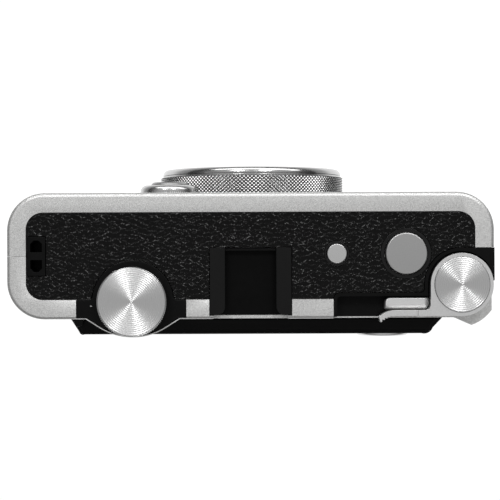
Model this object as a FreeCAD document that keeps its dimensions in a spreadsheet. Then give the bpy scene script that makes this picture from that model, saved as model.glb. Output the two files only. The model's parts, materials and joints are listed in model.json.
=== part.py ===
import FreeCAD, Part
import math
import os

import Sketcher
from FreeCAD import Placement, Rotation, Vector

# A compact instant-film camera styled like a rangefinder, in millimetres.
# X runs along the width, +X towards the effect dial. Y runs from the lens (-Y) to the film door (+Y).
# Z is up from the base plate. The origin is the middle of the base, at half the body's depth.

DIMENSIONS = {
    # body shell
    "body_wide": 122.9,
    "body_deep": 31.9,
    "body_tall": 87.0,
    "body_round": 9.5,
    "shell_wall": 1.8,
    "shell_floor": 2.4,
    "shell_ceiling": 80.2,
    "edge_round": 1.1,
    "joint_gap": 0.05,
    # leather wrap
    "skin": 0.6,
    "skin_low": 8.0,
    "skin_high": 75.5,
    "door_field": 47.9,
    # deck panel in the top of the shell
    "deck_half": 56.6,
    "deck_front": -11.0,
    "deck_back": 11.05,
    "deck_round": 4.3,
    "deck_seat": 84.4,
    "panel_thick": 1.7,
    "seam": 0.15,
    # effect dial on the deck
    "dial_across": 29.7,
    "dial_depth": 11.45,
    "dial_radius": 8.85,
    "dial_low": 87.05,
    "dial_seat": 90.8,
    "dial_top": 91.4,
    "dial_cap_radius": 8.45,
    "dial_base_radius": 10.3,
    "dial_base_inner": 16.25,
    "dial_base_outer": 43.95,
    "dial_base_top": 86.9,
    "dial_foot_round": 1.2,
    "bulge_half": 11.8,
    "bulge_turn": 8.66,
    "bulge_reach": 17.94,
    "bulge_radius": 15.9,
    "bulge_lip": 0.35,
    "corner_inner": -51.84,
    "corner_turn": -56.3,
    "corner_reach": 17.95,
    "corner_radius": 10.5,
    "corner_side": 14.1,
    "shaft_radius": 2.0,
    "running_fit": 0.05,
    # accessory shoe
    "shoe_half": 10.3,
    "shoe_gap_half": 6.45,
    "shoe_slot_half": 9.35,
    "shoe_front": -2.0,
    "shoe_back": 15.0,
    "shoe_base": 82.2,
    "shoe_floor": 83.6,
    "shoe_slot": 2.15,
    "shoe_rail": 1.5,
    "shoe_round": 2.2,
    # print lever
    "hub_across": -53.1,
    "hub_depth": 7.45,
    "hub_radius": 7.9,
    "hub_low": 82.8,
    "hub_top": 88.4,
    "hub_cap_radius": 6.9,
    "hub_pocket_radius": 8.4,
    "hub_base_radius": 9.25,
    "arm_inner": 6.4,
    "arm_low": 84.0,
    "arm_top": 87.6,
    "well_base": 82.0,
    "well_floor": 82.6,
    "well_left": -20.9,
    "well_front": 9.5,
    "well_back": 15.55,
    "well_round": 1.6,
    "well_rim": 0.85,
    "rest_outer": -45.05,
    "rest_inner": -33.9,
    "rest_front": 10.75,
    "rest_back": 13.75,
    # buttons on the deck
    "shutter_across": -39.2,
    "power_across": -21.75,
    "button_depth": -0.4,
    "shutter_radius": 5.25,
    "shutter_collar": 6.4,
    "power_radius": 2.45,
    "power_collar": 3.2,
    "button_low": 84.9,
    "collar_top": 86.6,
    "shutter_well": 83.4,
    # strap lug
    "lug_inner": 51.7,
    "lug_outer": 56.35,
    "lug_half": 4.95,
    "lug_top": 86.7,
    # base
    "plate_half": 35.0,
    "plate_depth_half": 9.5,
    "plate_thick": 0.8,
    "screw_across": 31.0,
    "screw_depth": 7.0,
    "tripod_depth": -5.0,
    "tripod_radius": 4.5,
    "tripod_bore": 2.55,
    # lens
    "lens_across": -0.45,
    "lens_high": 41.5,
    "tube_radius": 20.9,
    "tube_bore": 18.2,
    "ring_radius": 25.5,
    "ring_front": -21.7,
    "ring_back": -16.4,
    "bezel_radius": 24.9,
    "bezel_front": -23.65,
    "bezel_bore": 17.6,
    "barrel_radius": 8.2,
    "barrel_bore": 5.2,
    # front of the body
    "front_button_across": 21.3,
    "front_button_high": 67.3,
    "front_button_radius": 4.9,
    "front_base_radius": 7.7,
    "mirror_across": 43.0,
    "mirror_high": 67.0,
    "mirror_radius": 4.2,
    "flash_across": -28.0,
    "flash_high": 66.0,
    "flash_half": 8.4,
    "flash_rise": 4.4,
    # film door with the screen
    "door_half": 47.2,
    "door_face_half": 44.1,
    "door_lip": 3.1,
    "door_low": 9.6,
    "door_high": 73.6,
    "door_base": 16.1,
    "door_face": 20.5,
    "door_skin": 0.5,
    "door_wall": 2.2,
    "plug_half": 46.2,
    "plug_low": 11.4,
    "plug_high": 72.8,
    "plug_depth": 13.2,
    "chamber_gap": 0.4,
    "hinge_across": 44.6,
    "hinge_depth": 17.2,
    "hinge_swing": 3.0,
    "ear_radius": 1.1,
    "ear_thick": 1.6,
    "pin_radius": 0.6,
    "screen_left": -23.5,
    "screen_right": 41.5,
    "screen_low": 17.0,
    "screen_high": 67.0,
    "key_across": -36.8,
    "nav_high": 44.0,
    "nav_radius": 7.1,
    "nav_face": 22.4,
    "key_radius": 2.9,
    "key_face": 20.8,
    "play_high": 62.0,
    "back_high": 26.0,
    # door latch beside the door's free edge
    "latch_across": -50.0,
    "latch_high": 32.0,
    "latch_half": 2.0,
    "latch_reach": 6.2,
    # film transport
    "film_plane": 3.0,
    "pack_half": 46.0,
    "pack_front": 0.9,
    "pack_back": 12.3,
    "pack_low": 11.9,
    "pack_high": 72.7,
    "gear_module": 0.425,
    "gear_low": 74.0,
    "gear_thick": 2.0,
    "roller_across": 52.4,
    "roller_radius": 2.4,
    "journal_radius": 1.2,
    "motor_radius": 5.0,
    "slot_half": 1.2,
    "exit_low": 13.5,
    "exit_high": 72.5,
}

doc = FreeCAD.newDocument("instant_camera")
sheet = doc.addObject("Spreadsheet::Sheet", "Dims")


class Size:
    """A length: its value now, and the spreadsheet formula that it comes from."""

    def __init__(self, text, value):
        self.text = text
        self.value = value

    def __add__(self, other):
        return Size(f"({self.text} + {formula(other)})", self.value + number(other))

    def __radd__(self, other):
        return Size(f"({formula(other)} + {self.text})", number(other) + self.value)

    def __sub__(self, other):
        return Size(f"({self.text} - {formula(other)})", self.value - number(other))

    def __rsub__(self, other):
        return Size(f"({formula(other)} - {self.text})", number(other) - self.value)

    def __mul__(self, other):
        return Size(f"({self.text} * {formula(other)})", self.value * number(other))

    __rmul__ = __mul__

    def __truediv__(self, other):
        return Size(f"({self.text} / {formula(other)})", self.value / number(other))

    def __neg__(self):
        return Size(f"(0 - {self.text})", -self.value)


def formula(size):
    return size.text if isinstance(size, Size) else repr(float(size))


def number(size):
    return size.value if isinstance(size, Size) else float(size)


def vector(point):
    return Vector(*[number(c) for c in point])


def bind(item, prop, size):
    """Sets a property, and keeps it bound to the spreadsheet when the size comes from there."""
    if isinstance(size, Size):
        item.setExpression(prop, size.text)


for row, (alias, value) in enumerate(DIMENSIONS.items(), 1):
    sheet.set(f"A{row}", alias)
    sheet.set(f"B{row}", str(value))
    sheet.setAlias(f"B{row}", alias)
doc.recompute()


class Dimensions:
    """The spreadsheet's cells by name, each as a Size."""

    def __getattr__(self, alias):
        return Size(f"Dims.{alias}", float(sheet.get(alias)))


D = Dimensions()
pieces = {}


def keep(item, label):
    """Names a finished sub-part, so that it is checked and written."""
    item.Label = label
    pieces[label] = item
    return item


def put(item, at, rotation=None):
    """Places an item, with each coordinate bound to the sheet where it is a Size."""
    item.Placement = Placement(vector(at), rotation or Rotation())
    for axis, size in zip("xyz", at):
        bind(item, f".Placement.Base.{axis}", size)
    return item


# ---- Part primitives and booleans -------------------------------------------------------------

TURNS = {
    "Z": Rotation(),
    "Y": Rotation(Vector(1, 0, 0), -90),
    "X": Rotation(Vector(0, 1, 0), 90),
}


def block(low, high):
    """A box between two corners."""
    item = doc.addObject("Part::Box", "Box")
    for prop, a, b in zip(("Length", "Width", "Height"), low, high):
        setattr(item, prop, number(b) - number(a))
        bind(item, prop, b - a)
    return put(item, low)


def rod(start, radius, length, along="Z"):
    """A cylinder from a point, along an axis."""
    item = doc.addObject("Part::Cylinder", "Cylinder")
    item.Radius = number(radius)
    item.Height = number(length)
    bind(item, "Radius", radius)
    bind(item, "Height", length)
    return put(item, start, TURNS[along])


def fuse(*items):
    if len(items) == 1:
        return items[0]
    item = doc.addObject("Part::MultiFuse", "Fuse")
    item.Shapes = list(items)
    return item


def cut(base, *tools):
    item = doc.addObject("Part::Cut", "Cut")
    item.Base = base
    item.Tool = fuse(*tools)
    return item


def common(first, second):
    item = doc.addObject("Part::Common", "Common")
    item.Base = first
    item.Tool = second
    return item


def group(*items):
    """Separate solids that are kept as one sub-part."""
    item = doc.addObject("Part::Compound", "Group")
    item.Links = list(items)
    return item


def rounded(item, radius, choose):
    """Rounds the edges of an item that choose(edge) picks."""
    doc.recompute()
    edges = [i for i, e in enumerate(item.Shape.Edges, 1) if choose(e)]
    result = doc.addObject("Part::Fillet", "Round")
    result.Base = item
    result.Edges = [(i, number(radius), number(radius)) for i in edges]
    return result


# ---- PartDesign bodies -------------------------------------------------------------------------

PLANES = {"XY": "XY_Plane", "XZ": "XZ_Plane", "YZ": "YZ_Plane"}
FACES_BACK = {"XY": False, "XZ": True, "YZ": False}


def rectangle(x0, y0, x1, y1):
    return [(x0, y0), (x1, y0), (x1, y1), (x0, y1)]


def round_rectangle(x0, y0, x1, y1, r):
    return [
        (x0 + r, y0),
        (x1 - r, y0, r),
        (x1, y0 + r),
        (x1, y1 - r, r),
        (x1 - r, y1),
        (x0 + r, y1, r),
        (x0, y1 - r),
        (x0, y0 + r, r),
    ]


def circle(x, y, r):
    return ("circle", x, y, r)


def arc_between(p, q, radius):
    """The short arc from p to q: anticlockwise where the radius is positive."""
    p, q, r = Vector(*p, 0), Vector(*q, 0), abs(radius)
    chord = q - p
    rise = math.sqrt(max(r * r - (chord.Length / 2) ** 2, 0.0))
    side = Vector(-chord.y, chord.x, 0).normalize() * (rise if radius > 0 else -rise)
    centre = (p + q) / 2 + side
    start, end = (p, q) if radius > 0 else (q, p)
    angles = [math.atan2(v.y - centre.y, v.x - centre.x) for v in (start, end)]
    return Part.ArcOfCircle(Part.Circle(centre, Vector(0, 0, 1), r), *angles)


class Body:
    """A PartDesign body whose features are bound to the spreadsheet."""

    def __init__(self, label, at=(0, 0, 0)):
        self.item = put(doc.addObject("PartDesign::Body", "Body"), at)
        keep(self.item, label)

    def sketch(self, plane, level, outlines):
        sk = self.item.newObject("Sketcher::SketchObject", "Sketch")
        role = PLANES[plane]
        origin = next(f for f in self.item.Origin.OriginFeatures if f.Role == role)
        sk.AttachmentSupport = [(origin, "")]
        sk.MapMode = "FlatFace"
        offset = -level if FACES_BACK[plane] else level
        sk.AttachmentOffset = Placement(Vector(0, 0, number(offset)), Rotation())
        bind(sk, ".AttachmentOffset.Base.z", offset)
        for outline in outlines:
            if outline[0] == "circle":
                self.draw_circle(sk, *outline[1:])
            else:
                self.draw_path(sk, outline)
        return sk

    def fix(self, sk, kind, *where, size):
        index = sk.addConstraint(Sketcher.Constraint(kind, *where, number(size)))
        if isinstance(size, Size):
            sk.setExpression(f"Constraints[{index}]", size.text)

    def pin(self, sk, line, end, point):
        self.fix(sk, "DistanceX", -1, 1, line, end, size=point[0])
        self.fix(sk, "DistanceY", -1, 1, line, end, size=point[1])

    def draw_circle(self, sk, x, y, r):
        centre = Vector(number(x), number(y), 0)
        line = sk.addGeometry(Part.Circle(centre, Vector(0, 0, 1), number(r)), False)
        self.pin(sk, line, 3, (x, y))
        self.fix(sk, "Radius", line, size=r)

    def draw_path(self, sk, corners):
        """A closed outline. A corner's third value is the radius of the arc to the next corner."""
        count = len(corners)
        first = sk.GeometryCount
        points = [(number(c[0]), number(c[1])) for c in corners]
        turns = [c[2] if len(c) > 2 else None for c in corners]
        for i in range(count):
            p, q = points[i], points[(i + 1) % count]
            if turns[i] is None:
                sk.addGeometry(Part.LineSegment(Vector(*p, 0), Vector(*q, 0)), False)
            else:
                sk.addGeometry(arc_between(p, q, number(turns[i])), False)
        for i in range(count):
            back = turns[i] is not None and number(turns[i]) < 0
            start, end = (2, 1) if back else (1, 2)
            following = (i + 1) % count
            ahead = turns[following] is not None and number(turns[following]) < 0
            sk.addConstraint(
                Sketcher.Constraint("Coincident", first + i, end, first + following, 2 if ahead else 1)
            )
            self.pin(sk, first + i, start, corners[i])
            if turns[i] is not None:
                radius = -turns[i] if back else turns[i]
                self.fix(sk, "Radius", first + i, size=radius)

    def feature(self, kind, sk):
        item = self.item.newObject(f"PartDesign::{kind}", kind)
        item.Profile = sk
        return item

    def pad(self, plane, level, length, *outlines):
        """Adds material from a level towards the positive side of the plane's axis."""
        item = self.feature("Pad", self.sketch(plane, level, outlines))
        item.Length = number(length)
        bind(item, "Length", length)
        item.Reversed = FACES_BACK[plane]
        return self.built(item, grows=True)

    def pocket(self, plane, level, length, *outlines):
        """Removes material from a level towards the positive side of the plane's axis."""
        item = self.feature("Pocket", self.sketch(plane, level, outlines))
        item.Length = number(length)
        bind(item, "Length", length)
        item.Reversed = not FACES_BACK[plane]
        return self.built(item, grows=False)

    def revolve(self, plane, *outlines):
        """Turns an outline about the sketch's upright axis: Z on XZ, and Y on XY."""
        sk = self.sketch(plane, 0, outlines)
        item = self.feature("Revolution", sk)
        item.ReferenceAxis = (sk, ["V_Axis"])
        return self.built(item, grows=True)

    def dress(self, kind, size, choose):
        """A Fillet or Chamfer on the edges that choose(edge) picks."""
        base = self.item.Tip
        names = [f"Edge{i}" for i, e in enumerate(base.Shape.Edges, 1) if choose(e)]
        item = self.item.newObject(f"PartDesign::{kind}", kind)
        item.Base = (base, names)
        prop = "Radius" if kind == "Fillet" else "Size"
        setattr(item, prop, number(size))
        bind(item, prop, size)
        return self.built(item)

    def built(self, item, grows=None):
        """Recomputes, and stops if a feature failed or changed nothing."""
        before = self.volume if hasattr(self, "volume") else 0.0
        doc.recompute()
        self.volume = self.item.Shape.Volume
        change = self.volume - before
        failed = any(s in item.State for s in ("Invalid", "Error"))
        if failed or abs(change) < 1e-6 or (grows is not None and (change > 0) != grows):
            raise SystemExit(f"{self.item.Label}: {item.Label} failed, volume change {change:.3f}")
        return item


def box_of(edge):
    b = edge.BoundBox
    return b.XMin, b.XMax, b.YMin, b.YMax, b.ZMin, b.ZMax


def level_edge(axis, level, tolerance=0.01):
    """Picks the edges that lie in one plane across an axis."""
    first = "XYZ".index(axis) * 2
    value = number(level)

    def choose(edge):
        b = box_of(edge)
        return abs(b[first] - value) < tolerance and abs(b[first + 1] - value) < tolerance

    return choose


def along(axis, start, end, tolerance=0.01):
    """Picks straight edges that run along an axis between two levels."""
    first = "XYZ".index(axis) * 2

    def choose(edge):
        b = box_of(edge)
        ends = abs(b[first] - number(start)) < tolerance and abs(b[first + 1] - number(end)) < tolerance
        return ends and edge.Curve.TypeId == "Part::GeomLine"

    return choose


def upright_near(x, y, reach=0.4):
    """Picks upright edges near a place in the plan."""

    def choose(edge):
        b = box_of(edge)
        upright = b[1] - b[0] < 0.01 and b[3] - b[2] < 0.01
        return upright and math.hypot(b[0] - number(x), b[2] - number(y)) < reach

    return choose


def either(*choosers):
    return lambda edge: any(choose(edge) for choose in choosers)


# ---- Shared outlines, seen in plan -------------------------------------------------------------

half_wide = D.body_wide / 2
half_deep = D.body_deep / 2
beyond = 70
above = 10


def front_plan(inset, back):
    """The front half of the body's plan, drawn in from its surface, closed at a depth."""
    w, d, r = half_wide - inset, half_deep - inset, D.body_round - inset
    return [(-w, back), (-w, r - d, r), (r - w, -d), (w - r, -d, r), (w, r - d), (w, back)]


def rear_plan(inset, front):
    w, d, r = half_wide - inset, half_deep - inset, D.body_round - inset
    return [(w, front), (w, d - r, r), (w - r, d), (r - w, d, r), (-w, d - r), (-w, front)]


def deck_plan(inset):
    return round_rectangle(
        -D.deck_half + inset,
        D.deck_front + inset,
        D.deck_half - inset,
        D.deck_back - inset,
        D.deck_round - inset,
    )


def shoe_plan(grow):
    return rectangle(-D.shoe_half - grow, D.shoe_front - grow, D.shoe_half + grow, D.shoe_back + grow)


def lug_plan(grow):
    return rectangle(D.lug_inner - grow, -D.lug_half - grow, D.lug_outer + grow, D.lug_half + grow)


def bulge_plan(inset, front):
    """The housing's bulge behind the effect dial, round the back of the dial."""
    x, turn, reach = D.dial_across, D.bulge_turn, D.bulge_reach - inset
    return [
        (x + D.bulge_half, front),
        (x + D.bulge_half, half_deep - inset),
        (x + turn, reach, D.bulge_radius - inset),
        (x - turn, reach),
        (x - D.bulge_half, half_deep - inset),
        (x - D.bulge_half, front),
    ]


def corner_plan():
    """The housing's full back corner under the print lever."""
    inner = half_deep - D.body_round
    return [
        (D.corner_inner, inner),
        (D.corner_inner, half_deep),
        (D.corner_turn, D.corner_reach, D.corner_radius),
        (-half_wide, D.corner_side),
        (-half_wide, inner),
    ]


def dial_base_plan(grow):
    """The dial's black base without its round front."""
    x, turn, reach = D.dial_across, D.bulge_turn, D.bulge_reach - D.bulge_lip + grow
    back = half_deep - D.bulge_lip + grow
    return [
        (D.dial_base_inner - grow, D.deck_back),
        (D.dial_base_outer + grow, D.deck_back),
        (D.dial_base_outer + grow, back),
        (x + D.bulge_half, back),
        (x + turn, reach, D.bulge_radius - D.bulge_lip + grow),
        (x - turn, reach),
        (x - D.bulge_half, back),
        (D.dial_base_inner - grow, back),
    ]


def dial_round(grow):
    """The round front of the dial's black base."""
    x, y, r = D.dial_across, D.dial_depth, D.dial_base_radius + grow
    return [(x - r, y, r), (x, y - r, r), (x + r, y)]


def lever_front(grow, back):
    """The front edge of the lever's black base, from its inner end round the hub."""
    left, front, r = D.well_left + grow, D.well_front - grow, D.well_round + grow
    side, bend = D.hub_across + D.hub_base_radius + grow, 1.0 - grow
    return [
        (left, back),
        (left, front + r, -r),
        (left - r, front),
        (side + bend, front, bend),
        (side, front - bend),
        (side, D.hub_depth, -(D.hub_base_radius + grow)),
        (D.hub_across, D.hub_depth - D.hub_base_radius - grow),
    ]


def lever_base_plan(grow):
    """The lever's black base, with the body's own round at its outer back corner."""
    w, back, r = half_wide + grow, D.well_back + grow, D.body_round - D.bulge_lip
    front = D.hub_depth - D.hub_base_radius - grow
    return lever_front(grow, back) + [(-w, front), (-w, back - r, -r), (r - w, back)]


def lever_open_plan(grow):
    """The lever's base, left open over the back and the outer side."""
    front = D.hub_depth - D.hub_base_radius - grow
    return lever_front(grow, half_deep + above) + [(-beyond, front), (-beyond, half_deep + above)]


def lever_well_plan():
    """The hollow in the lever's base, open at the back."""
    rim, r = D.well_rim, D.hub_pocket_radius
    left, front = D.well_left - rim, D.well_front + rim
    side = D.hub_across + r
    return [
        (left, half_deep + above),
        (left, front + 1, -1.0),
        (left - 1, front),
        (side, front),
        (side, D.hub_depth, -r),
        (D.hub_across, D.hub_depth - r, -r),
        (D.hub_across - r, D.hub_depth),
        (-beyond, D.hub_depth),
        (-beyond, half_deep + above),
    ]


# ---- Body shell --------------------------------------------------------------------------------


def outer_rim(edge, inner_level=0.1):
    """Picks the top and bottom edges of a cover, but not those on the joint between covers."""
    b = box_of(edge)
    flat = b[5] - b[4] < 0.01
    on_end = min(abs(b[4]), abs(b[4] - D.body_tall.value)) < 0.01
    return flat and on_end and max(abs(b[2]), abs(b[3])) > inner_level


def deck_cuts(body):
    """Hollows of the deck that both covers share."""
    body.pocket("XY", D.deck_seat, above, deck_plan(0))
    body.pocket("XY", D.shoe_base, above, shoe_plan(D.seam))
    body.pocket("XY", D.well_base, D.well_floor - D.well_base, lever_base_plan(D.joint_gap))
    body.pocket("XY", D.well_floor, above, lever_open_plan(D.joint_gap))
    loose = 0.25
    shutter_hole = circle(D.shutter_across, D.button_depth, D.shutter_radius + loose)
    body.pocket("XY", D.shutter_well, above, shutter_hole)
    power_hole = circle(D.power_across, D.button_depth, D.power_radius + loose)
    body.pocket("XY", D.deck_seat - 0.4, above, power_hole)
    body.pocket("XY", D.shell_ceiling - 1, above, circle(D.shutter_across, D.button_depth, 1.6))
    body.pocket("XY", D.shell_ceiling - 1, above, circle(D.power_across, D.button_depth, 1.1))
    body.pocket("XY", D.shell_ceiling - 1, above, lug_plan(D.seam))


def base_cuts(body, side):
    """The recess for the bottom plate, with a boss and a bore for each screw on this side."""
    places = [(x, side * D.screw_depth) for x in (-D.screw_across, D.screw_across)]
    body.pad("XY", D.shell_floor, 3.0, *[circle(x, y, 2.0) for x, y in places])
    reach, depth = D.plate_half + D.joint_gap, D.plate_depth_half + D.joint_gap
    body.pocket("XY", -1, 1 + D.plate_thick, round_rectangle(-reach, -depth, reach, depth, 2.0))
    body.pocket("XY", -1, above, *[circle(x, y, 0.8) for x, y in places])


def front_cover():
    body = Body("front_cover")
    body.pad("XY", 0, D.body_tall, front_plan(0, 0))
    body.dress("Fillet", D.edge_round, outer_rim)
    inner = front_plan(D.shell_wall, 1)
    body.pocket("XY", D.shell_floor, D.shell_ceiling - D.shell_floor, inner)
    hollow = round_rectangle(-half_wide + 3, -half_deep + 3, half_wide - 3, D.shoe_front - 1.4, 3.0)
    body.pocket("XY", D.shell_ceiling - 1, D.deck_seat - 1.8 - D.shell_ceiling + 1, hollow)
    wrap = rectangle(-beyond, -beyond, beyond, 2)
    body.pocket("XY", D.skin_low, D.skin_high - D.skin_low, wrap, front_plan(D.skin, 1))
    deck_cuts(body)
    base_cuts(body, -1)
    key = D.tripod_radius + D.joint_gap
    body.pocket("XY", -1, above, rectangle(-key, D.tripod_depth - key, key, 1))
    wall = -half_deep - 1
    body.pocket("XZ", wall, 5, circle(D.lens_across, D.lens_high, D.tube_radius + D.joint_gap))
    body.pocket("XZ", wall, 5, circle(D.front_button_across, D.front_button_high, 1.3))
    body.pocket("XZ", wall, 5, flash_plan(D.joint_gap))


def flash_plan(grow):
    half, rise = D.flash_half + grow, D.flash_rise + grow
    x, z = D.flash_across, D.flash_high
    return round_rectangle(x - half, z - rise, x + half, z + rise, 1.0)


def rear_cover():
    body = Body("rear_cover")
    body.pad("XY", 0, D.body_tall, rear_plan(0, D.joint_gap))
    body.dress("Fillet", D.edge_round, outer_rim)
    body.pad("XY", D.skin_high, D.body_tall - D.skin_high, bulge_plan(0, D.deck_back))
    body.pad("XY", D.skin_high, D.well_base - D.skin_high, corner_plan())
    inner = rear_plan(D.shell_wall, -1)
    body.pocket("XY", D.shell_floor, D.shell_ceiling - D.shell_floor, inner)
    wrap = rectangle(-beyond, -2, beyond, beyond)
    body.pocket("XY", D.skin_low, D.skin_high - D.skin_low, wrap, rear_plan(D.skin, -1))
    field = rectangle(-D.door_field, D.skin_low, D.door_field, D.skin_high)
    body.pad("XZ", half_deep - D.skin, D.skin, field)
    rib = rectangle(D.plug_half + D.chamber_gap, D.skin_low, half_wide - 11, D.skin_high)
    body.pad("XZ", half_deep - 3.6, 2.0, rib)
    deck_cuts(body)
    body.pocket("XY", D.deck_seat, above, dial_base_plan(D.joint_gap))
    for x, y in ((D.dial_across, D.dial_depth), (D.hub_across, D.hub_depth)):
        body.pocket("XY", D.shell_ceiling - 1, above, circle(x, y, D.shaft_radius + D.running_fit))
    foot = rectangle(-D.shoe_slot_half, D.shoe_back - 1, D.shoe_slot_half, half_deep + 1)
    body.pocket("XY", D.shoe_floor, above, foot)
    base_cuts(body, 1)
    gap = D.chamber_gap
    chamber = rectangle(-D.plug_half - gap, D.plug_low - gap, D.plug_half + gap, D.plug_high + gap)
    body.pocket("XZ", D.pack_back, above, chamber)
    swing = circle(D.hinge_across, D.hinge_depth, D.hinge_swing)
    body.pocket("XY", D.door_low - 0.15, D.door_high - D.door_low + 0.3, swing)
    body.pocket("YZ", half_wide - 5, 10, exit_plan(D.slot_half, 0))
    body.pocket("XZ", half_deep - 0.8, above, latch_plan(D.latch_half, D.latch_reach))
    body.pocket("XZ", half_deep - 5, above, latch_plan(0.9, D.latch_reach - 1.4))


def exit_plan(half, grow):
    """The film exit in the side of the body, drawn in Y and Z."""
    y = D.film_plane
    return rectangle(y - half, D.exit_low - grow, y + half, D.exit_high + grow)


def latch_plan(half, reach):
    """A rectangle about the middle of the latch's recess."""
    x, z = D.latch_across, D.latch_high
    return rectangle(x - half, z - reach, x + half, z + reach)


def latch_notch():
    """The notch in the door's free edge that leaves the latch in reach."""
    reach = D.latch_reach + 0.6
    return rectangle(-beyond, D.latch_high - reach, -D.door_field - 0.05, D.latch_high + reach)


def front_leather():
    body = Body("front_leather")
    edge = D.joint_gap
    tall = D.skin_high - D.skin_low - edge * 2
    body.pad("XY", D.skin_low + edge, tall, front_plan(0, 0))
    body.pocket("XY", D.skin_low - 1, tall + 3, front_plan(D.skin, 2))
    wall = -half_deep - 1
    body.pocket("XZ", wall, 5, circle(D.lens_across, D.lens_high, D.ring_radius - 0.8))
    body.pocket("XZ", wall, 5, circle(D.front_button_across, D.front_button_high, D.front_base_radius + 0.1))
    body.pocket("XZ", wall, 5, circle(D.mirror_across, D.mirror_high, D.mirror_radius + 0.1))
    body.pocket("XZ", wall, 5, flash_plan(0.2))


def rear_leather():
    body = Body("rear_leather")
    edge = D.joint_gap
    tall = D.skin_high - D.skin_low - edge * 2
    body.pad("XY", D.skin_low + edge, tall, rear_plan(0, edge))
    body.pocket("XY", D.skin_low - 1, tall + 3, rear_plan(D.skin, -2))
    field = D.door_field + edge
    body.pocket("XZ", half_deep - 2, 5, rectangle(-field, 0, field, D.body_tall))
    body.pocket("YZ", half_wide - 5, 10, exit_plan(2.75, 1.55))
    body.pocket("XZ", half_deep - 2, 5, latch_plan(D.latch_half + 0.1, D.latch_reach + 0.1))


def bottom_plate():
    body = Body("bottom_plate")
    x, y = D.plate_half, D.plate_depth_half
    body.pad("XY", 0, D.plate_thick, round_rectangle(-x, -y, x, y, 2.0))
    body.pocket("XY", -1, 5, circle(0, D.tripod_depth, D.tripod_radius + D.joint_gap))
    places = [(a * D.screw_across, b * D.screw_depth) for a in (-1, 1) for b in (-1, 1)]
    body.pocket("XY", -1, 5, *[circle(px, py, 0.85) for px, py in places])
    body.pocket("XY", -1, 1.55, *[circle(px, py, 1.6) for px, py in places])


def base_screws():
    screws = []
    for x in (-D.screw_across, D.screw_across):
        for y in (-D.screw_depth, D.screw_depth):
            head = rod((x, y, 0.05), 1.5, 0.5)
            shank = rod((x, y, 0.5), 0.75, 4.3)
            slot = block((x - 1.1, y - 0.2, -0.5), (x + 1.1, y + 0.2, 0.3))
            screws.append(cut(fuse(head, shank), slot))
    keep(group(*screws), "base_screws")


def tripod_socket():
    """A threaded bush with a flange inside the floor and a square key that the covers hold between them."""
    body = Body("tripod_socket", at=(0, D.tripod_depth, 0))
    r, bore, floor = D.tripod_radius, D.tripod_bore, D.shell_floor
    profile = [
        (bore + 0.5, 0),
        (r, 0),
        (r, floor),
        (r + 1.1, floor),
        (r + 1.1, floor + 1.2),
        (r, floor + 1.2),
        (r, 7),
        (0, 7),
        (0, 6.2),
        (bore, 6.2),
        (bore, 0.5),
    ]
    body.revolve("XZ", profile)
    low = D.plate_thick + D.joint_gap
    body.pad("XY", low, floor - low, rectangle(-r, -r, r, r), circle(0, 0, bore + 1))


# ---- Deck --------------------------------------------------------------------------------------


def deck_sheet(label, low, thick):
    """A sheet that covers the deck, with openings for all that stands through it."""
    body = Body(label)
    gap = D.seam
    body.pad("XY", low, thick, deck_plan(gap))
    body.pocket("XY", low - 1, 5, shoe_plan(gap))
    body.pocket("XY", low - 1, 5, dial_round(gap))
    body.pocket("XY", low - 1, 5, lever_open_plan(gap))
    body.pocket("XY", low - 1, 5, circle(D.shutter_across, D.button_depth, D.shutter_collar + 0.05))
    body.pocket("XY", low - 1, 5, circle(D.power_across, D.button_depth, D.power_collar + 0.05))
    body.pocket("XY", low - 1, 5, lug_plan(gap))
    reach = D.dial_base_radius.value
    feet = [upright_near(D.dial_across + side * reach, D.deck_back - gap) for side in (-1, 1)]
    body.dress("Fillet", D.dial_foot_round, either(*feet))


def strap_lug():
    body = Body("strap_lug")
    x0, x1, y = D.lug_inner, D.lug_outer, D.lug_half
    ceiling = D.shell_ceiling - D.joint_gap
    body.pad("XY", ceiling - 2, 2, rectangle(x0 - 0.6, -y - 0.6, x1 + 0.6, y + 0.6))
    body.pad("XY", ceiling, D.lug_top - ceiling, rectangle(x0, -y, x1, y))
    near, far, bar, reach = x0 + 0.9, x1 - 0.85, 1.0, y - 1
    slots = []
    for side in (-1, 1):
        inner, outer = side * bar, side * reach
        slots.append(
            [
                (near, inner),
                (far, inner),
                (far, outer - side * 0.9),
                (far - 0.9, outer),
                (near + 0.9, outer),
                (near, outer - side * 0.9),
            ]
        )
    floor = ceiling - 0.6
    body.pocket("XY", floor, above, *slots)
    body.pocket("XZ", -1.5, 3, rectangle(near, floor, far, floor + 3))


def accessory_shoe():
    body = Body("accessory_shoe")
    lip = D.shoe_floor + D.shoe_slot
    top = lip + D.shoe_rail
    outer, slot, gap = D.shoe_half, D.shoe_slot_half, D.shoe_gap_half
    profile = [
        (-outer, D.shoe_base),
        (outer, D.shoe_base),
        (outer, top),
        (gap, top),
        (gap, lip),
        (slot, lip),
        (slot, D.shoe_floor),
        (-slot, D.shoe_floor),
        (-slot, lip),
        (-gap, lip),
        (-gap, top),
        (-outer, top),
    ]
    body.pad("XZ", D.shoe_front, D.shoe_back - D.shoe_front, profile)
    body.dress("Fillet", D.shoe_round, either(*[upright_near(s * gap, D.shoe_back) for s in (-1, 1)]))
    stop = rectangle(-slot, D.shoe_floor - 0.5, slot, lip)
    body.pad("XZ", D.shoe_front, 0.8, stop)


def dial_escutcheon():
    body = Body("dial_escutcheon")
    low, tall = D.deck_seat, D.dial_base_top - D.deck_seat
    body.pad("XY", low, tall, dial_base_plan(0))
    body.pad("XY", low, tall, dial_round(0))
    reach = D.dial_base_radius.value
    feet = [upright_near(D.dial_across + side * reach, D.deck_back) for side in (-1, 1)]
    body.dress("Fillet", D.dial_foot_round, either(*feet))
    body.pocket("XY", low - 1, above, circle(D.dial_across, D.dial_depth, D.shaft_radius + D.running_fit))


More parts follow.
